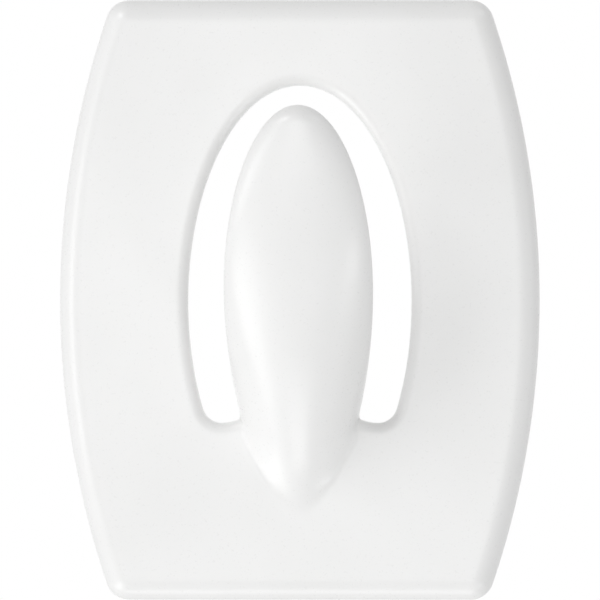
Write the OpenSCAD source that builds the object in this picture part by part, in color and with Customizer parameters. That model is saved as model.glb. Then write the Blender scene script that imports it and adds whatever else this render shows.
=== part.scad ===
// Adhesive wall hook: a moulded plate with a tongue standing out of an arched slot,
// stuck to the wall by a die-cut foam pad that is supplied under a peel-off liner.
// Millimetres. +Z is up, the front faces -Y, and the wall plane is Y = 0.

/* [Plate] */
// Height of the plate
plate_h = 40; // [34:1:50]
// Width of the plate across its bowed waist
plate_w = 32; // [29:1:40]
// Width between the ends of the bowed sides, at the top and bottom edges
plate_end_w = 25; // [22:1:27]
// Thickness of the plate
plate_t = 2.6; // [2.4:0.1:3.4]
// Radius of the four corners, seen from the front
corner_r = 1.6; // [1.6:0.1:3]
// Radius of the rounded rim around the front face
rim_r = 1.5; // [0.8:0.1:1.5]

/* [Slot] */
// Width of the arched slot at its widest
slot_w = 14.9; // [13.5:0.1:17]
// Distance of the top of the slot's arch from the top edge of the plate
slot_top = 5.7; // [4.5:0.1:8]
// Height above the slot's floor at which the slot is widest
slot_waist = 8.1; // [5:0.1:9]
// Height of the slot's floor above the bottom edge of the plate
slot_floor = 11.8; // [11:0.1:13]
// Radius of the two lower corners of the slot
slot_corner_r = 1.3; // [0.6:0.1:1.8]
// How far the slot's floor curves up towards the tongue's root
root_rise = 0.3; // [0:0.1:0.5]
// Radius of the lip around the front edge of the slot
lip_r = 0.8; // [0.4:0.1:0.9]

/* [Tongue] */
// Gap between the tongue and the slot where the tongue is widest, seen from the front
side_gap = 2.55; // [2:0.05:3.5]
// Gap between the tongue's tip and the top of the slot, seen from the front
tip_gap = 1.6; // [0.8:0.1:3]
// How much narrower the tongue is on the slot's floor than at its widest
root_taper = 2; // [0.5:0.1:3]
// Height above the slot's floor at which the tongue is widest
tongue_waist = 8.6; // [6:0.1:11]
// How far the tip stands out from the front of the plate
reach = 11; // [8:0.5:15]
// How far the front of the tongue swells out in front of its side edges near the tip
front_swell = 1.5; // [1:0.1:2.2]
// How far the back of the tongue swells out behind its side edges
back_swell = 0.4; // [0.2:0.1:0.6]
// Thickness of the tongue's side edges
edge_t = 0.5; // [0.4:0.1:0.8]
// Height above the root over which the side edges lift from the plate towards the ridge
edge_lift = 13; // [8:0.5:16]
// Length over which the front of the tongue rounds off at the tip
tip_r = 1.2; // [0.8:0.1:2]
// Length of the keel in which the tongue runs down into the plate below its root
keel_h = 4.5; // [3.5:0.1:6]
// Softness of the fillet along the foot of the keel
keel_soft = 2.4; // [1:0.1:3]
// Height below the root over which the keel's flanks open out into that fillet
keel_blend = 1.8; // [1.2:0.1:2.4]
// How far round its section the keel turns before its flanks run out straight, in degrees
keel_turn = 45; // [35:1:55]

/* [Adhesive pad] */
// Distance of the pad's outside edge from the edge of the plate
pad_margin = 1.6; // [1:0.1:2.4]
// Distance of the pad's inside edge from the edge of the slot
pad_slot_margin = 1; // [0.5:0.1:1.5]
// Radius of the pad's outside corners
pad_corner_r = 1; // [0.5:0.1:2]
// Thickness of the foam carrier
foam_t = 1; // [0.6:0.1:2]
// Thickness of each of the two adhesive coats
adhesive_t = 0.1; // [0.05:0.05:0.2]
// Thickness of the release liner
liner_t = 0.15; // [0.1:0.05:0.3]
// Width of the lift tab at the bottom of the liner
tab_w = 8; // [6:0.5:12]
// Radius of the lift tab's two corners
tab_r = 1; // [0.5:0.1:1.4]
// Distance of the lift tab's end from the bottom edge of the plate
tab_setback = 0.2; // [0:0.1:0.8]

/* [Hidden] */

// The wall is Y = 0. Depth runs from it towards the front, and each layer stands on the one before
adhesive_d = liner_t;
foam_d = adhesive_d + adhesive_t;
hook_adhesive_d = foam_d + foam_t;
plate_d = hook_adhesive_d + adhesive_t;

// Radius of the bowed sides, which pass through the waist and the four outline corners
bow = (plate_w - plate_end_w) / 2;
side_r = (plate_h * plate_h / 4 + bow * bow) / (2 * bow);
side_x = plate_w / 2 - side_r;

// The slot fills the plate between its floor and its top, and the tongue fills the slot but for its gaps
slot_h = plate_h - slot_floor - slot_top;
tongue_h = slot_h - tip_gap;
tongue_w = slot_w - 2 * side_gap;
root_w = tongue_w - root_taper;
floor_z = slot_floor - plate_h / 2;
root_z = floor_z + root_rise;
slot_waist_z = floor_z + slot_waist;
tongue_waist_z = floor_z + tongue_waist;
tip_z = floor_z + tongue_h;
keel_z = root_z - keel_h;

// Steps up the right half of the plate's outline: bottom edge, corner, side, corner, top edge
bottom_n = 3;
corner_n = 6;
side_n = 20;
top_n = 7;
lane_n = bottom_n + 2 * corner_n + side_n + top_n;
// Steps up the right half of the slot: floor, corner, and the arch takes the rest
floor_n = 2;
slot_corner_n = 5;
arch_n = lane_n - floor_n - slot_corner_n;
// Steps around a rounded edge, over the flat of the plate, across the tongue and up it
round_n = 5;
flat_n = 10;
across_n = 24;
up_n = 22;
// Power by which the steps over the flat crowd towards the slot
flat_crowd = 1.2;
// Turn, in degrees, at which the steps up the tongue stop just short of its tip
tip_stop = 89;

function mix(a, b, t) = a + (b - a) * t;

// Eases from 0 to 1 with level ends
function ease(t) = let (s = min(max(t, 0), 1)) s * s * (3 - 2 * s);

// A front-view point at a depth in front of the plate's back
function at(p, depth) = [p[0], -plate_d - depth, p[1]];

// Point k of the plate's right half outline, from below the tongue's root to the middle of the top
function plate_point(k, inset, r) =
    let (
        z = plate_h / 2 - inset - r,
        x = side_x + sqrt(pow(side_r - inset - r, 2) - z * z),
        turn = atan2(z, x - side_x),
        side_k = bottom_n + corner_n,
        top_k = side_k + side_n
    )
    k < bottom_n ? [mix(root_w / 2, x, k / bottom_n), -z - r]
    : k < side_k ?
        let (a = mix(-90, -turn, (k - bottom_n) / corner_n)) [x + r * cos(a), -z + r * sin(a)]
    : k < top_k ?
        let (a = mix(-turn, turn, (k - side_k) / side_n)) (side_r - inset) * [cos(a), sin(a)] + [side_x, 0]
    : k < top_k + corner_n ?
        let (a = mix(turn, 90, (k - top_k) / corner_n)) [x + r * cos(a), z + r * sin(a)]
    : [x * (lane_n - k) / top_n, z + r];

// The arch of the slot is part of a tall ellipse: a point on it, and the way square off it
function arch_point(a) = [slot_w / 2 * cos(a), slot_waist_z + (slot_h - slot_waist) * sin(a)];
function arch_normal(a) = let (n = [(slot_h - slot_waist) * cos(a), slot_w / 2 * sin(a)]) n / norm(n);

// Where the round corner on the slot's floor runs into the arch, found by halving
function corner_centre(a) = arch_point(a) - slot_corner_r * arch_normal(a);
function find_corner(low, high, n = 30) =
    let (a = (low + high) / 2)
    n == 0 ? a
    : corner_centre(a)[1] > floor_z + slot_corner_r ? find_corner(low, a, n - 1)
    : find_corner(a, high, n - 1);
corner_a = find_corner(-85, 30);
corner_c = corner_centre(corner_a);
corner_turn = atan2(arch_normal(corner_a)[1], arch_normal(corner_a)[0]);

// Point k of the slot's right half outline, from the tongue's root to the top of the arch
function slot_point(k, grow) =
    let (arch_k = floor_n + slot_corner_n)
    k < floor_n ?
        let (t = k / floor_n)
        [mix(root_w / 2, corner_c[0], t), floor_z + root_rise * pow(1 - t, 2) - grow]
    : k < arch_k ?
        let (a = mix(-90, corner_turn, (k - floor_n) / slot_corner_n))
        corner_c + (slot_corner_r + grow) * [cos(a), sin(a)]
    : let (a = mix(corner_a, 90, (k - arch_k) / arch_n)) arch_point(a) + grow * arch_normal(a);

// One lane of the plate: up the slot's wall, over its lip, along the front, round the rim, down to the back
function lane(k) =
    let (lip = slot_point(k, lip_r), rim = plate_point(k, rim_r, corner_r - rim_r))
    concat(
        [for (d = [0, plate_t - lip_r - edge_t, plate_t - lip_r]) at(slot_point(k, 0), d)],
        [for (i = [1 : round_n]) let (a = 90 * i / round_n)
            at(slot_point(k, lip_r * (1 - cos(a))), plate_t - lip_r * (1 - sin(a)))],
        [for (i = [1 : flat_n - 1]) at(mix(lip, rim, pow(i / flat_n, flat_crowd)), plate_t)],
        [for (i = [0 : round_n]) let (a = 90 - 90 * i / round_n, inset = rim_r * (1 - cos(a)))
            at(plate_point(k, inset, corner_r - inset), plate_t - rim_r * (1 - sin(a)))],
        [at(plate_point(k, 0, corner_r), 0)]
    );

// Half width of the tongue: it swells from its root to its waist and closes round the tip
function tongue_half(z) =
    z > tongue_waist_z
        ? tongue_w / 2 * sqrt(1 - pow((z - tongue_waist_z) / (tip_z - tongue_waist_z), 2))
        : max(0.1, mix(tongue_w, root_w, pow((tongue_waist_z - z) / (tongue_waist_z - root_z), 2)) / 2);

// Height of the ridge in front of the plate: it comes out of the plate at the foot of the keel
// and runs level with the plate at the tip
function ridge(z) = reach * (1 - pow((tip_z - z) / (tip_z - keel_z), 2));

// How far the side edges lie behind the ridge, and the depth of their front corner
function flank_drop(z) = mix(ridge(root_z) + lip_r, front_swell, ease((z - root_z) / edge_lift));
function edge_front(z) = plate_t + ridge(z) - flank_drop(z);

// Share of the swell at a distance from the middle: an ellipse that rounds off at the tip
function swell(x, z) =
    let (s = max(0, 1 - (tip_z - z) / tip_r))
    sqrt(max(0, 1 - pow(x / tongue_half(z), 2)) * (1 - s * s));

// Height of the keel over the plate: the tongue carried on down, its flanks opening out to a slant
function keel_over(x, z) =
    let (
        half = tongue_half(z),
        off = abs(x) / half,
        upright = 1 - sqrt(max(0, 1 - off * off)) + max(0, abs(x) - half) / flank_drop(z),
        slanted = off < sin(keel_turn)
            ? 1 - sqrt(1 - off * off)
            : 1 - cos(keel_turn) + (off - sin(keel_turn)) * tan(keel_turn)
    )
    ridge(z) - flank_drop(z) * mix(upright, slanted, ease((root_z - z) / keel_blend));

// Depth of the front below the root, where the keel and a plate of a given depth run together over a fillet
function keel_front(x, z, plate_front) =
    let (soft = keel_soft * ease((root_z - z) / keel_blend), over = plate_t + keel_over(x, z) - plate_front)
    abs(over) >= soft
        ? plate_front + max(0, over)
        : let (s = (1 + over / soft) / 2) plate_front + over * s + soft * s * (1 - s);

// A point of a lane, raised onto the keel's fillet where that runs out over the front of the plate
function on_fillet(p) =
    let (depth = -p[1] - plate_d)
    p[2] < root_z && depth > plate_t - lip_r ? at([p[0], p[2]], keel_front(p[0], p[2], depth)) : p;

// Step i across a level row: close together at the sides of the tongue, even on the plate below it
function across(i, z) = mix(cos(180 * i / across_n), 1 - 2 * i / across_n, ease((root_z - z) / keel_h));

// One level row across the front, from right to left, over side edges of a given depth
function front_row(half, z, edge) =
    [for (i = [0 : across_n]) let (x = half * across(i, z))
        at([x, z], z < root_z
            ? keel_front(x, z, edge)
            : mix(edge, plate_t + ridge(z), swell(x, z)))];

// One level row across the back of the tongue
function back_row(z) =
    [for (i = [0 : across_n]) let (x = tongue_half(z) * across(i, z))
        at([x, z], edge_front(z) - edge_t - back_swell * swell(x, z))];

// A row of the plate's flat back, from right to left
function flat_row(half, z) = [for (i = [0 : across_n]) at([half * across(i, z), z], 0)];

// The plate around the slot, lane by lane from the left of the root over the top to the right
function plate_patch() =
    [for (k = [-lane_n : lane_n])
        let (ring = [for (p = lane(lane_n - abs(k))) on_fillet(p)])
        [for (p = concat(ring, [ring[0]])) k < 0 ? [-p[0], p[1], p[2]] : p]];

// Front of the keel and the tongue, from the bottom edge of the plate to the tip
function front_patch(heights) =
    let (edge = lane(0))
    concat(
        [for (i = [len(edge) - 1 : -1 : 2])
            front_row(edge[i][0], edge[i][2], -edge[i][1] - plate_d)],
        [for (z = heights) front_row(tongue_half(z), z, edge_front(z))]
    );

// Back of the keel, floor of the slot and back of the tongue
function back_patch(heights) =
    let (foot = plate_point(0, 0, corner_r))
    concat(
        [flat_row(foot[0], foot[1]), flat_row(root_w / 2, root_z), back_row(root_z)],
        [for (z = heights) back_row(z)]
    );

// Side edge of the tongue, on the right or the left
function edge_patch(heights, side) =
    [for (z = concat([root_z], heights)) let (x = side * tongue_half(z))
        [at([x, z], edge_front(z) - edge_t), at([x, z], edge_front(z))]];

// Flips a patch over so that its outside is the other side
function flip(patch) = [for (i = [len(patch) - 1 : -1 : 0]) patch[i]];

// Closed skin made of patches that meet edge to edge, each a grid of points
module skin(patches) {
    sizes = [for (patch = patches) len(patch) * len(patch[0])];
    starts = [for (i = 0, n = 0; i < len(patches); n = n + sizes[i], i = i + 1) n];
    points = [for (patch = patches, row = patch, p = row) p];
    faces = [for (i = [0 : len(patches) - 1])
        let (n = len(patches[i][0]))
        for (r = [0 : len(patches[i]) - 2], c = [0 : n - 2])
            let (a = starts[i] + r * n + c)
            each [[a, a + 1, a + n + 1], [a, a + n + 1, a + n]]];
    polyhedron(points, faces, convexity = 6);
}

// Outline of the pad: the plate's outline drawn in, with an arch left open behind the slot
module pad_shape() {
    outside = [for (k = [bottom_n : lane_n]) plate_point(k, pad_margin, pad_corner_r)];
    inside = [for (k = [floor_n : lane_n]) slot_point(k, pad_slot_margin)];
    difference() {
        both_halves(outside);
        both_halves(inside);
    }
}

// A shape from the outline of its right half, given from the bottom to the top
module both_halves(half) {
    polygon(concat(half, [for (i = [len(half) - 2 : -1 : 0]) [-half[i][0], half[i][1]]]));
}

// Lift tab, from its rounded end up into the pad's outline
module tab_shape() {
    for (side = [-1, 1])
        translate([side * (tab_w / 2 - tab_r), tab_r]) circle(tab_r, $fn = 48);
    translate([tab_r - tab_w / 2, 0]) square([tab_w - 2 * tab_r, pad_margin]);
    translate([-tab_w / 2, tab_r]) square([tab_w, pad_margin]);
}

// One layer of the pad, standing at a depth in front of the wall
module layer(depth, thickness) {
    rotate([90, 0, 0])
    translate([0, 0, depth])
    linear_extrude(thickness)
    children();
}

// Plate and tongue, moulded in one piece in white plastic
module hook_body() {
    heights = [for (i = [1 : up_n]) mix(root_z, tip_z, sin(tip_stop * i / up_n))];
    front = front_patch(heights);
    back = back_patch(heights);
    tip = [front[len(front) - 1], back[len(back) - 1]];
    color("white")
    skin([plate_patch(), front, flip(back), edge_patch(heights, 1), flip(edge_patch(heights, -1)), tip]);
}

// Clear coat that bonds the foam to the plate
module hook_side_adhesive() {
    color("lightyellow")
    layer(hook_adhesive_d, adhesive_t) pad_shape();
}

// White foam that takes up the unevenness of the wall
module foam_carrier() {
    color("whitesmoke")
    layer(foam_d, foam_t) pad_shape();
}

// Clear coat that bonds the foam to the wall
module wall_side_adhesive() {
    color("lightyellow")
    layer(adhesive_d, adhesive_t) pad_shape();
}

// Coated paper over the wall-side adhesive, with a lift tab that stays hidden behind the plate
module release_liner() {
    color("wheat")
    layer(0, liner_t) {
        pad_shape();
        translate([0, tab_setback - plate_h / 2]) tab_shape();
    }
}

hook_body();
hook_side_adhesive();
foam_carrier();
wall_side_adhesive();
release_liner();
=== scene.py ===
import math

import bmesh
import bpy
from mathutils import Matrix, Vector, noise


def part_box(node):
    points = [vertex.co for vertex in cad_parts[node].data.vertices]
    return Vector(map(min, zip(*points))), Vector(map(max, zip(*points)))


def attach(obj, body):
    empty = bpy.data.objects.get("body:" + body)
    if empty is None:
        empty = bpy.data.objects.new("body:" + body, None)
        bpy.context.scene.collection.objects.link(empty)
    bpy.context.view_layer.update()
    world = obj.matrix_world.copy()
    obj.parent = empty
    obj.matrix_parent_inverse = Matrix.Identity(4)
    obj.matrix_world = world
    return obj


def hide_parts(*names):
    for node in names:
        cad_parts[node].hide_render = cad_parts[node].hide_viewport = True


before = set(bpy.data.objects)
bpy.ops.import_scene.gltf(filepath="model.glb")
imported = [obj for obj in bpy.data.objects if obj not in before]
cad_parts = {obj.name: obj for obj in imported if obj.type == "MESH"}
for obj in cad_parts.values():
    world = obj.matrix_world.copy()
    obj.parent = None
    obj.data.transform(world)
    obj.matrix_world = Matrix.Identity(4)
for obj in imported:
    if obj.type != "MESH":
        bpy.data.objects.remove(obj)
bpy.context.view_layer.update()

# The hook itself: a barrel-shaped plate with an arched slot, and a leaf-shaped tongue that leans out
# of the slot. White ABS, injection moulded in one piece with a satin gloss; every front edge is rounded.
# The sizes are in millimetres and degrees.
MM = 0.001
hook_low, hook_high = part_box("hook_body")
plate_back = hook_high.y
plate_w = (hook_high.x - hook_low.x) / MM
plate_h = (hook_high.z - hook_low.z) / MM
plate_end_w = 25.0
plate_t = 2.6
corner_r = 1.6
rim_r = 1.5
lip_r = 0.8
back_r = 0.2

slot_w = 14.9
slot_floor = 11.8
slot_top = 5.7
slot_waist = 8.1
slot_corner_r = 1.3
root_rise = 0.3

side_gap = 2.55
tip_gap = 1.6
root_taper = 2.0
tongue_waist = 8.6
reach = (plate_back - hook_low.y) / MM - plate_t
front_swell = 1.5
back_swell = 0.4
edge_t = 0.5
edge_lift = 13.0
tip_r = 1.2
keel_h = 4.5
keel_soft = 2.0
keel_blend = 1.2
keel_turn = 64.0
least_half = 0.1
hair = 1e-6

bow = (plate_w - plate_end_w) / 2
side_r = (plate_h * plate_h / 4 + bow * bow) / (2 * bow)
side_x = plate_w / 2 - side_r
slot_h = plate_h - slot_floor - slot_top
arch_h = slot_h - slot_waist
tongue_h = slot_h - tip_gap
tongue_w = slot_w - 2 * side_gap
root_w = tongue_w - root_taper
floor_z = slot_floor - plate_h / 2
root_z = floor_z + root_rise
tip_z = floor_z + tongue_h
keel_z = root_z - keel_h

# steps along the outline, round the slot, across the plate and over the tongue
bottom_n, corner_n, side_n, top_n = 6, 10, 40, 14
lane_n = bottom_n + 2 * corner_n + side_n + top_n
floor_n, slot_corner_n = 4, 10
arch_n = lane_n - floor_n - slot_corner_n
round_n, flat_n, back_n = 8, 18, 3
flat_crowd = 1.2
across_n, up_n = 48, 44


def mix(a, b, t):
    return a + (b - a) * t


def ease(t):
    s = min(max(t, 0.0), 1.0)
    return s * s * (3 - 2 * s)


def on_circle(x, z, r, degrees):
    a = math.radians(degrees)
    return x + r * math.cos(a), z + r * math.sin(a)


def plate_point(k, inset, r):
    """Point k up the right half of the plate's outline, drawn in by inset, with corners of radius r."""
    z = plate_h / 2 - inset - r
    x = side_x + math.sqrt((side_r - inset - r) ** 2 - z * z)
    turn = math.degrees(math.atan2(z, x - side_x))
    side_k = bottom_n + corner_n
    top_k = side_k + side_n
    if k < bottom_n:
        return mix(root_w / 2, x, k / bottom_n), -z - r
    if k < side_k:
        return on_circle(x, -z, r, mix(-90, -turn, (k - bottom_n) / corner_n))
    if k < top_k:
        return on_circle(side_x, 0, side_r - inset, mix(-turn, turn, (k - side_k) / side_n))
    if k < top_k + corner_n:
        return on_circle(x, z, r, mix(turn, 90, (k - top_k) / corner_n))
    return x * (lane_n - k) / top_n, z + r


def arch(degrees, grow):
    """A point on the elliptic arch of the slot, grown outwards, and the direction square off it."""
    a = math.radians(degrees)
    nx, nz = arch_h * math.cos(a), slot_w / 2 * math.sin(a)
    n = math.hypot(nx, nz)
    x = slot_w / 2 * math.cos(a) + grow * nx / n
    z = floor_z + slot_waist + arch_h * math.sin(a) + grow * nz / n
    return x, z, math.degrees(math.atan2(nz, nx))


# where the round corner on the slot's floor runs into the arch, found by halving
low_a, high_a, halvings = -85.0, 30.0, 40
for _ in range(halvings):
    corner_a = (low_a + high_a) / 2
    if arch(corner_a, -slot_corner_r)[1] > floor_z + slot_corner_r:
        high_a = corner_a
    else:
        low_a = corner_a
corner_x, corner_z, corner_turn = arch(corner_a, -slot_corner_r)


def slot_point(k, grow):
    """Point k up the right half of the slot, from the tongue's root to the top of the arch."""
    arch_k = floor_n + slot_corner_n
    if k < floor_n:
        t = k / floor_n
        return mix(root_w / 2, corner_x, t), floor_z + root_rise * (1 - t) ** 2 - grow
    if k < arch_k:
        turn = mix(-90, corner_turn, (k - floor_n) / slot_corner_n)
        return on_circle(corner_x, corner_z, slot_corner_r + grow, turn)
    return arch(mix(corner_a, 90, (k - arch_k) / arch_n), grow)[:2]


def quarter(n):
    """Sine and cosine at even steps round a quarter circle."""
    return [(math.sin(math.pi / 2 * i / n), math.cos(math.pi / 2 * i / n)) for i in range(n + 1)]


def lane(k):
    """One lane across the plate as (x, z, depth): slot wall, lip, front, rim, outer wall, back edge."""
    wall = plate_t - lip_r
    points = [(*slot_point(k, back_r * (1 - s)), back_r * (1 - c)) for s, c in quarter(back_n)]
    points += [(*slot_point(k, 0), d) for d in (wall - edge_t, wall)]
    points += [(*slot_point(k, lip_r * (1 - c)), wall + lip_r * s) for s, c in quarter(round_n)[1:]]
    lip, rim = slot_point(k, lip_r), plate_point(k, rim_r, corner_r - rim_r)
    for i in range(1, flat_n):
        t = (i / flat_n) ** flat_crowd
        points.append((mix(lip[0], rim[0], t), mix(lip[1], rim[1], t), plate_t))
    for s, c in quarter(round_n):
        inset = rim_r * (1 - s)
        points.append((*plate_point(k, inset, corner_r - inset), plate_t - rim_r * (1 - c)))
    for s, c in quarter(back_n):
        inset = back_r * (1 - c)
        points.append((*plate_point(k, inset, corner_r - inset), back_r * (1 - s)))
    return points


def tongue_half(z):
    """Half width of the tongue: it swells from its root to its waist and closes round the tip."""
    waist_z = floor_z + tongue_waist
    if z > waist_z:
        return tongue_w / 2 * math.sqrt(max(0.0, 1 - ((z - waist_z) / (tip_z - waist_z)) ** 2))
    return mix(tongue_w, root_w, ((waist_z - z) / (waist_z - root_z)) ** 2) / 2


def ridge(z):
    """Height of the tongue's ridge in front of the plate, which it leaves at the foot of the keel."""
    s = min((z - keel_z) / (tip_z - keel_z), 1.0)
    return reach * (1 - (1 - s) ** 2)


def flank_drop(z):
    """How far the side edges of the tongue lie behind its ridge."""
    return mix(ridge(root_z) + lip_r, front_swell, ease((z - root_z) / edge_lift))


def edge_front(z):
    """Depth of the front corner of the tongue's side edges."""
    return plate_t + ridge(z) - flank_drop(z)


def swell(x, z):
    """Share of the swell at a distance x from the middle: an ellipse that rounds off at the tip."""
    half = tongue_half(z)
    s = max(0.0, 1 - (tip_z - z) / tip_r)
    bulge = max(0.0, 1 - (x / half) ** 2) if half > hair else 0.0
    return math.sqrt(bulge * (1 - s * s))


def keel_over(x, z):
    """Height of the keel over the plate: the tongue carried on down, its flanks opening out to a slant."""
    half = max(tongue_half(z), least_half)
    off = abs(x) / half
    turn = math.sin(math.radians(keel_turn))
    bend = math.cos(math.radians(keel_turn))
    upright = 1 - math.sqrt(max(0.0, 1 - off * off)) + max(0.0, abs(x) - half) / flank_drop(z)
    slanted = 1 - math.sqrt(1 - off * off) if off < turn else 1 - bend + (off - turn) * turn / bend
    return ridge(z) - flank_drop(z) * mix(upright, slanted, ease((root_z - z) / keel_blend))


def keel_front(x, z, plate_front):
    """Depth of the front where the keel and the plate run into each other over a soft fillet."""
    soft = keel_soft * ease((root_z - z) / keel_blend)
    over = plate_t + keel_over(x, z) - plate_front
    if abs(over) >= soft:
        return plate_front + max(over, 0.0)
    share = (1 + over / soft) / 2
    return plate_front + over * share + soft * share * (1 - share)


across_steps = [math.cos(math.pi * i / across_n) for i in range(across_n + 1)]


def front_row(half, z, edge):
    """A row of points across the front, crowded at the tongue's edges and evened out down the keel."""
    if z < root_z - hair:
        even = ease((root_z - z) / keel_h)
        xs = [half * mix(c, 1 - 2 * i / across_n, even) for i, c in enumerate(across_steps)]
        return [(x, z, keel_front(x, z, edge)) for x in xs]
    return [(half * c, z, mix(edge, plate_t + ridge(z), swell(half * c, z))) for c in across_steps]


def back_row(z):
    """A row of points across the back of the tongue, which swells less than the front."""
    half, edge = tongue_half(z), edge_front(z) - edge_t
    return [(half * c, z, edge - back_swell * swell(half * c, z)) for c in across_steps]


heights = [mix(root_z, tip_z, math.sin(math.pi / 2 * i / up_n)) for i in range(1, up_n + 1)]
foot_lane = lane(0)
wall_at = back_n + 2

plate_patch = []
for k in range(-lane_n, lane_n + 1):
    side = -1 if k < 0 else 1
    ring = []
    for x, z, d in lane(lane_n - abs(k)):
        by_keel = z < root_z and d > plate_t - lip_r
        ring.append((side * x, z, keel_front(x, z, d) if by_keel else d))
    plate_patch.append(ring + ring[:1])
front_patch = [front_row(x, z, d) for x, z, d in foot_lane[:wall_at - 1:-1]]
front_patch += [front_row(tongue_half(z), z, edge_front(z)) for z in heights]
back_patch = []
for x, z, d in foot_lane[-1:] + foot_lane[:back_n + 1]:
    back_patch.append([(px, pz, d) for px, pz, _ in front_row(x, z, d)])
back_patch += [back_row(z) for z in [root_z] + heights]
edge_patches = []
for side in (1, -1):
    edge_patches.append([[(side * tongue_half(z), z, edge_front(z) - edge_t),
                          (side * tongue_half(z), z, edge_front(z))] for z in [root_z] + heights])

weld = 1e-8
bm = bmesh.new()
for patch in [plate_patch, front_patch, back_patch] + edge_patches:
    grid = [[bm.verts.new((x * MM, plate_back - d * MM, z * MM)) for x, z, d in row] for row in patch]
    for near, far in zip(grid, grid[1:]):
        for i in range(len(near) - 1):
            bm.faces.new((near[i], near[i + 1], far[i + 1], far[i]))
bmesh.ops.remove_doubles(bm, verts=bm.verts, dist=weld)
bmesh.ops.dissolve_degenerate(bm, edges=bm.edges, dist=weld)
bmesh.ops.recalc_face_normals(bm, faces=bm.faces)
for face in bm.faces:
    face.smooth = True
hook_mesh = bpy.data.meshes.new("moulded_hook")
bm.to_mesh(hook_mesh)
bm.free()
hook = bpy.data.objects.new("moulded_hook", hook_mesh)
bpy.context.scene.collection.objects.link(hook)
hook.modifiers.new("smooth", "SUBSURF").levels = 1

white_abs = bpy.data.materials.new("white_satin_abs")
white_abs.use_nodes = True
nodes, links = white_abs.node_tree.nodes, white_abs.node_tree.links
shader = nodes["Principled BSDF"]
where = nodes.new("ShaderNodeTexCoord")
melt = nodes.new("ShaderNodeTexNoise")
melt.inputs["Scale"].default_value = 160
melt.inputs["Detail"].default_value = 2
links.new(where.outputs["Object"], melt.inputs["Vector"])
whites = nodes.new("ShaderNodeValToRGB")
whites.color_ramp.elements[0].position = 0.3
whites.color_ramp.elements[0].color = (0.855, 0.856, 0.850, 1)
whites.color_ramp.elements[1].position = 0.7
whites.color_ramp.elements[1].color = (0.872, 0.872, 0.868, 1)
links.new(melt.outputs["Fac"], whites.inputs["Fac"])
links.new(whites.outputs["Color"], shader.inputs["Base Color"])
tool_marks = nodes.new("ShaderNodeTexNoise")
tool_marks.inputs["Scale"].default_value = 7000
tool_marks.inputs["Detail"].default_value = 3
links.new(where.outputs["Object"], tool_marks.inputs["Vector"])
satin = nodes.new("ShaderNodeMapRange")
satin.inputs["To Min"].default_value = 0.26
satin.inputs["To Max"].default_value = 0.30
links.new(tool_marks.outputs["Fac"], satin.inputs["Value"])
links.new(satin.outputs["Result"], shader.inputs["Roughness"])
skin = nodes.new("ShaderNodeBump")
skin.inputs["Strength"].default_value = 0.006
skin.inputs["Distance"].default_value = 0.00002
links.new(tool_marks.outputs["Fac"], skin.inputs["Height"])
links.new(skin.outputs["Normal"], shader.inputs["Normal"])
hook_mesh.materials.append(white_abs)
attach(hook, "hook")
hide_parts("hook_body")

# Hook-side adhesive: a clear acrylic coat, 0.1 mm thick, that bonds the foam to the back of the plate.
# It is coated on the foam in the roll and die-cut with it, so the two share one ring-shaped outline.
pad_margin = 1.6
pad_slot_margin = 1.0
pad_corner_r = 1.0
cut_edge_r = 0.03
coat_face_n, coat_wall_n = 6, 1


def pad_inside(k):
    """Point k up the right half of the opening that the die cuts behind the slot."""
    x, z = slot_point(max(k, floor_n), pad_slot_margin)
    return x * min(k / floor_n, 1.0), z


def pad_outside(k):
    """Point k up the right half of the pad's outside edge."""
    x, z = plate_point(max(k, bottom_n), pad_margin, pad_corner_r)
    return x * min(k / bottom_n, 1.0), z


def die_cut_ring(name, node, inside, outside, face_n, wall_n, cut):
    """A flat ring between two outlines of the right half; cut moves a point of its cut edges sideways."""
    low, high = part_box(node)
    bm = bmesh.new()
    rows = []
    for i in list(range(len(inside))) + list(range(len(inside) - 2, 0, -1)):
        side = 1 if len(rows) < len(inside) else -1
        (xi, zi), (xo, zo) = inside[i], outside[i]
        reach_x, reach_z = xo - xi, zo - zi
        length = math.hypot(reach_x, reach_z)
        section = [(j / face_n, 1.0) for j in range(face_n)]
        section += [(1.0, 1 - j / wall_n) for j in range(wall_n)]
        section += [(1 - j / face_n, 0.0) for j in range(face_n)]
        section += [(0.0, j / wall_n) for j in range(wall_n)]
        row = []
        for across, through in section:
            y = mix(low.y, high.y, through)
            x, z = mix(xi, xo, across), mix(zi, zo, across)
            push = 0.0
            if across in (0.0, 1.0):
                push = cut(side * x, z, through) * (across * 2 - 1) / length
            row.append(bm.verts.new((side * (x + push * reach_x) * MM, y, (z + push * reach_z) * MM)))
        rows.append(row)
    for near, far in zip(rows, rows[1:] + rows[:1]):
        for j in range(len(near)):
            bm.faces.new((near[j - 1], near[j], far[j], far[j - 1]))
    bmesh.ops.recalc_face_normals(bm, faces=bm.faces)
    for face in bm.faces:
        face.smooth = True
    mesh = bpy.data.meshes.new(name)
    bm.to_mesh(mesh)
    bm.free()
    ring = bpy.data.objects.new(name, mesh)
    bpy.context.scene.collection.objects.link(ring)
    soften = ring.modifiers.new("cut_edge", "BEVEL")
    soften.width = cut_edge_r * MM
    soften.segments = 2
    soften.limit_method = "ANGLE"
    return ring


def clean_cut(x, z, through):
    """A thin layer is cut clean: no point of its edge moves."""
    return 0.0


lanes = range(lane_n + 1)
hook_coat = die_cut_ring("hook_side_coat", "hook_side_adhesive", [pad_inside(k) for k in lanes],
                         [pad_outside(k) for k in lanes], coat_face_n, coat_wall_n, clean_cut)

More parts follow.
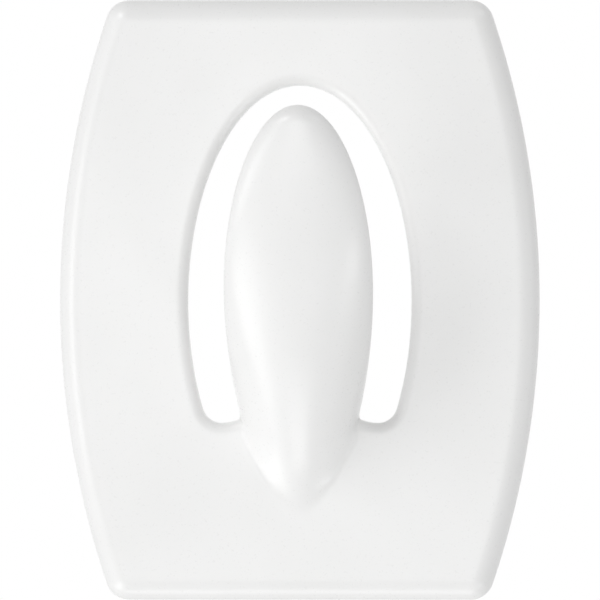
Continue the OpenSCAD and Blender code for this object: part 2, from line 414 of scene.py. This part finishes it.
tacky = bpy.data.materials.new("clear_tacky_acrylic")
tacky.use_nodes = True
nodes, links = tacky.node_tree.nodes, tacky.node_tree.links
shader = nodes["Principled BSDF"]
shader.inputs["Coat Weight"].default_value = 0.4
shader.inputs["Coat Roughness"].default_value = 0.08
where = nodes.new("ShaderNodeTexCoord")
stretch = nodes.new("ShaderNodeMapping")
stretch.inputs["Scale"].default_value = (4000, 4000, 250)
links.new(where.outputs["Object"], stretch.inputs["Vector"])
streaks = nodes.new("ShaderNodeTexNoise")
streaks.inputs["Scale"].default_value = 1
streaks.inputs["Detail"].default_value = 4
links.new(stretch.outputs["Vector"], streaks.inputs["Vector"])
tint = nodes.new("ShaderNodeValToRGB")
tint.color_ramp.elements[0].position = 0.3
tint.color_ramp.elements[0].color = (0.74, 0.71, 0.60, 1)
tint.color_ramp.elements[1].position = 0.7
tint.color_ramp.elements[1].color = (0.80, 0.78, 0.69, 1)
links.new(streaks.outputs["Fac"], tint.inputs["Fac"])
links.new(tint.outputs["Color"], shader.inputs["Base Color"])
sheen_range = nodes.new("ShaderNodeMapRange")
sheen_range.inputs["To Min"].default_value = 0.14
sheen_range.inputs["To Max"].default_value = 0.34
links.new(streaks.outputs["Fac"], sheen_range.inputs["Value"])
links.new(sheen_range.outputs["Result"], shader.inputs["Roughness"])
ripple = nodes.new("ShaderNodeBump")
ripple.inputs["Strength"].default_value = 0.25
ripple.inputs["Distance"].default_value = 0.00004
links.new(streaks.outputs["Fac"], ripple.inputs["Height"])
links.new(ripple.outputs["Normal"], shader.inputs["Normal"])
hook_coat.data.materials.append(tacky)
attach(hook_coat, "hook")
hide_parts("hook_side_adhesive")

# Foam carrier: white closed-cell polyethylene foam, 1 mm thick, that takes up the unevenness of the wall.
# It is die-cut from the roll: the blade leaves burst cells round its edges, which draw in a little.
half_lanes = [i / 2 for i in range(2 * lane_n + 1)]
foam_face_n, foam_wall_n = 8, 6
draw_in = 0.05
bursts_per_mm = 2.7
bursts_through = 2.2


def burst_cells(x, z, through):
    """How far the cut edge of the foam draws in: most at half its thickness, uneven from cell to cell."""
    waist = 1 - (2 * through - 1) ** 2
    uneven = noise.noise((x * bursts_per_mm, z * bursts_per_mm, through * bursts_through))
    return -waist * (draw_in + draw_in * uneven)


foam = die_cut_ring("foam_pad", "foam_carrier", [pad_inside(k) for k in half_lanes],
                    [pad_outside(k) for k in half_lanes], foam_face_n, foam_wall_n, burst_cells)

cellular = bpy.data.materials.new("white_closed_cell_foam")
cellular.use_nodes = True
nodes, links = cellular.node_tree.nodes, cellular.node_tree.links
shader = nodes["Principled BSDF"]
shader.inputs["Roughness"].default_value = 0.85
shader.inputs["Sheen Weight"].default_value = 0.15
where = nodes.new("ShaderNodeTexCoord")
cells = nodes.new("ShaderNodeTexVoronoi")
cells.feature = "SMOOTH_F1"
cells.inputs["Scale"].default_value = 5500
cells.inputs["Smoothness"].default_value = 0.4
links.new(where.outputs["Object"], cells.inputs["Vector"])
# painted shade: the colour darkens towards the middle of each cell, in the pits that the bump below sinks
# in
painted_pit_shade = nodes.new("ShaderNodeValToRGB")
painted_pit_shade.color_ramp.elements[0].position = 0.15
painted_pit_shade.color_ramp.elements[0].color = (0.74, 0.74, 0.71, 1)
painted_pit_shade.color_ramp.elements[1].position = 0.75
painted_pit_shade.color_ramp.elements[1].color = (0.87, 0.87, 0.85, 1)
links.new(cells.outputs["Distance"], painted_pit_shade.inputs["Fac"])
links.new(painted_pit_shade.outputs["Color"], shader.inputs["Base Color"])
pits = nodes.new("ShaderNodeBump")
pits.inputs["Strength"].default_value = 0.7
pits.inputs["Distance"].default_value = 0.00008
links.new(cells.outputs["Distance"], pits.inputs["Height"])
links.new(pits.outputs["Normal"], shader.inputs["Normal"])
foam.data.materials.append(cellular)
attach(foam, "hook")
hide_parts("foam_carrier")

# Wall-side adhesive: the same clear acrylic coat on the other face of the foam, which bonds it to the wall.
# It is supplied covered by the liner, and stays tacky and glossy until that is peeled off.
wall_coat = die_cut_ring("wall_side_coat", "wall_side_adhesive", [pad_inside(k) for k in lanes],
                         [pad_outside(k) for k in lanes], coat_face_n, coat_wall_n, clean_cut)
wall_coat.data.materials.append(tacky)
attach(wall_coat, "hook")
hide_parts("wall_side_adhesive")

# Release liner: cream paper with a silicone coat, die-cut to the pad's outline with a lift tab below.
# The tab sticks to nothing and hides behind the plate; the liner is peeled off and thrown away.
tab_w = 8.0
tab_r = 1.0
tab_setback = 0.2
tab_clear = 0.5
tab_share = 0.8
tab_n = 6
paper_face_n, paper_wall_n = 6, 1

tab_end = tab_setback - plate_h / 2
tab_outside = [((tab_w / 2 - tab_r) * i / tab_n, tab_end) for i in range(tab_n)]
for i in range(tab_n):
    turn = mix(-90, 0, i / tab_n)
    tab_outside.append(on_circle(tab_w / 2 - tab_r, tab_end + tab_r, tab_r, turn))
tab_outside.append((tab_w / 2, pad_outside(0)[1]))
beside_tab = [k for k in lanes if pad_outside(k)[0] > tab_w / 2 + tab_clear or k > bottom_n]
tab_room = pad_inside(beside_tab[0])[0] * tab_share
tab_inside = [(tab_room * i / (2 * tab_n), pad_inside(0)[1]) for i in range(2 * tab_n + 1)]
liner_inside = tab_inside + [pad_inside(k) for k in beside_tab]
liner_outside = tab_outside + [pad_outside(k) for k in beside_tab]
liner = die_cut_ring("release_paper", "release_liner", liner_inside, liner_outside,
                     paper_face_n, paper_wall_n, clean_cut)

paper = bpy.data.materials.new("cream_coated_paper")
paper.use_nodes = True
nodes, links = paper.node_tree.nodes, paper.node_tree.links
shader = nodes["Principled BSDF"]
shader.inputs["Coat Weight"].default_value = 0.12
shader.inputs["Coat Roughness"].default_value = 0.3
where = nodes.new("ShaderNodeTexCoord")
grain = nodes.new("ShaderNodeMapping")
grain.inputs["Scale"].default_value = (2600, 2600, 7500)
grain.inputs["Rotation"].default_value = (0, 0.35, 0)
links.new(where.outputs["Object"], grain.inputs["Vector"])
fibres = nodes.new("ShaderNodeTexNoise")
fibres.inputs["Scale"].default_value = 1
fibres.inputs["Detail"].default_value = 5
fibres.inputs["Roughness"].default_value = 0.7
fibres.inputs["Distortion"].default_value = 0.8
links.new(grain.outputs["Vector"], fibres.inputs["Vector"])
pulp = nodes.new("ShaderNodeTexNoise")
pulp.inputs["Scale"].default_value = 260
pulp.inputs["Detail"].default_value = 3
links.new(where.outputs["Object"], pulp.inputs["Vector"])
cloud = nodes.new("ShaderNodeValToRGB")
cloud.color_ramp.elements[0].position = 0.3
cloud.color_ramp.elements[0].color = (0.74, 0.66, 0.49, 1)
cloud.color_ramp.elements[1].position = 0.7
cloud.color_ramp.elements[1].color = (0.78, 0.71, 0.55, 1)
links.new(pulp.outputs["Fac"], cloud.inputs["Fac"])
strands = nodes.new("ShaderNodeValToRGB")
strands.color_ramp.elements[0].position = 0.35
strands.color_ramp.elements[0].color = (0.93, 0.91, 0.87, 1)
strands.color_ramp.elements[1].position = 0.65
strands.color_ramp.elements[1].color = (1.0, 1.0, 1.0, 1)
links.new(fibres.outputs["Fac"], strands.inputs["Fac"])
stained = nodes.new("ShaderNodeMix")
stained.data_type = "RGBA"
stained.blend_type = "MULTIPLY"
stained.inputs["Factor"].default_value = 1.0
links.new(cloud.outputs["Color"], stained.inputs["A"])
links.new(strands.outputs["Color"], stained.inputs["B"])
links.new(stained.outputs["Result"], shader.inputs["Base Color"])
gloss = nodes.new("ShaderNodeMapRange")
gloss.inputs["To Min"].default_value = 0.38
gloss.inputs["To Max"].default_value = 0.62
links.new(fibres.outputs["Fac"], gloss.inputs["Value"])
links.new(gloss.outputs["Result"], shader.inputs["Roughness"])
tooth = nodes.new("ShaderNodeBump")
tooth.inputs["Strength"].default_value = 0.35
tooth.inputs["Distance"].default_value = 0.00003
links.new(fibres.outputs["Fac"], tooth.inputs["Height"])
links.new(tooth.outputs["Normal"], shader.inputs["Normal"])
liner.data.materials.append(paper)
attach(liner, "liner")
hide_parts("release_liner")

# Studio: soft lights all round the hook, strongest from the upper left, in front of a white background.
# The pale floor lies far below, so that the lights from below reach the keel and the bottom rim.
scene = bpy.context.scene
scene.view_settings.view_transform = "Standard"
room_grey = 0.44
floor_white = 0.85
floor_grey = 0.85
floor_half = 2.0
floor_depth = 0.6


def white_where_seen(tree, lit, white, share):
    """Show white to the camera, in reflections and through glass, and the lit shader to other light."""
    path = tree.nodes.new("ShaderNodeLightPath")
    seen = path.outputs["Is Camera Ray"]
    for kind in ("Is Glossy Ray", "Is Transmission Ray"):
        either = tree.nodes.new("ShaderNodeMath")
        either.operation = "MAXIMUM"
        tree.links.new(seen, either.inputs[0])
        tree.links.new(path.outputs[kind], either.inputs[1])
        seen = either.outputs[0]
    part = tree.nodes.new("ShaderNodeMath")
    part.operation = "MULTIPLY"
    part.inputs[1].default_value = share
    tree.links.new(seen, part.inputs[0])
    white.inputs["Color"].default_value = (1, 1, 1, 1)
    pick = tree.nodes.new("ShaderNodeMixShader")
    tree.links.new(part.outputs[0], pick.inputs["Fac"])
    tree.links.new(lit.outputs[0], pick.inputs[1])
    tree.links.new(white.outputs[0], pick.inputs[2])
    return pick.outputs[0]


world = bpy.data.worlds.new("studio")
scene.world = world
world.use_nodes = True
room = world.node_tree
room.nodes["Background"].inputs["Color"].default_value = (room_grey, room_grey, room_grey, 1)
backdrop = white_where_seen(room, room.nodes["Background"], room.nodes.new("ShaderNodeBackground"), 1.0)
room.links.new(backdrop, room.nodes["World Output"].inputs["Surface"])


def soft_light(name, side, up, radiance, distance=0.5, size=0.2):
    """A square soft light aimed at the hook; side and up are degrees off the camera's axis."""
    lamp = bpy.data.lights.new(name, "AREA")
    lamp.size = size
    lamp.energy = radiance * math.pi * size * size
    a, e = math.radians(side), math.radians(up)
    toward = Vector((math.sin(a) * math.cos(e), -math.cos(a) * math.cos(e), math.sin(e)))
    at = bpy.data.objects.new(name, lamp)
    at.location = distance * toward
    at.rotation_euler = (-toward).to_track_quat("-Z", "Y").to_euler()
    scene.collection.objects.link(at)
    return at


soft_light("front_softbox", 0, 0, 1.6, distance=0.7, size=0.4)
soft_light("upper_left_softbox", -48, 37, 4.4)
soft_light("left_softbox", -58, 0, 2.7)
soft_light("lower_left_softbox", -48, -37, 2.0)
soft_light("low_left_edge_light", -73, -44, 2.4)
soft_light("upper_right_edge_light", 73, 44, 1.6)
soft_light("right_edge_light", 78, 0, 0.7)
soft_light("lower_right_softbox", 50, -36, 4.0, size=0.12)
soft_light("low_right_edge_light", 73, -44, 0.6)
soft_light("below_softbox", 0, -78, 2.2)
behind = soft_light("back_softbox", 180, 0, 5.0, distance=0.7, size=0.4)
behind.visible_glossy = False

bm = bmesh.new()
bmesh.ops.create_grid(bm, x_segments=1, y_segments=1, size=floor_half)
floor_mesh = bpy.data.meshes.new("floor")
bm.to_mesh(floor_mesh)
bm.free()
floor = bpy.data.objects.new("floor", floor_mesh)
floor.location = (0, 0, -floor_depth)
scene.collection.objects.link(floor)
pale = bpy.data.materials.new("pale_floor")
pale.use_nodes = True
paint = pale.node_tree
matt = paint.nodes["Principled BSDF"]
matt.inputs["Base Color"].default_value = (floor_grey, floor_grey, floor_grey, 1)
matt.inputs["Roughness"].default_value = 0.8
sweep = white_where_seen(paint, matt, paint.nodes.new("ShaderNodeEmission"), floor_white)
paint.links.new(sweep, paint.nodes["Material Output"].inputs["Surface"])
floor_mesh.materials.append(pale)

# Camera: in front of the plate and a little to the right, as far off as a small product is photographed.
# The photograph is 600 pixels square, and the plate's height of 40 mm takes 598.5 of them.
distance = 0.45
off_axis = 0.012
photo_px, plate_px, plate_tall = 600, 598.5, 0.040
aside = off_axis * distance
photo_width = photo_px * plate_tall / plate_px
camera_data = bpy.data.cameras.new("camera")
camera_data.lens = camera_data.sensor_width * distance / photo_width
camera = bpy.data.objects.new("camera", camera_data)
camera.location = (aside, plate_back - distance, 0)
camera.rotation_euler = (math.pi / 2, 0, math.atan2(aside, distance))
scene.collection.objects.link(camera)
scene.camera = camera
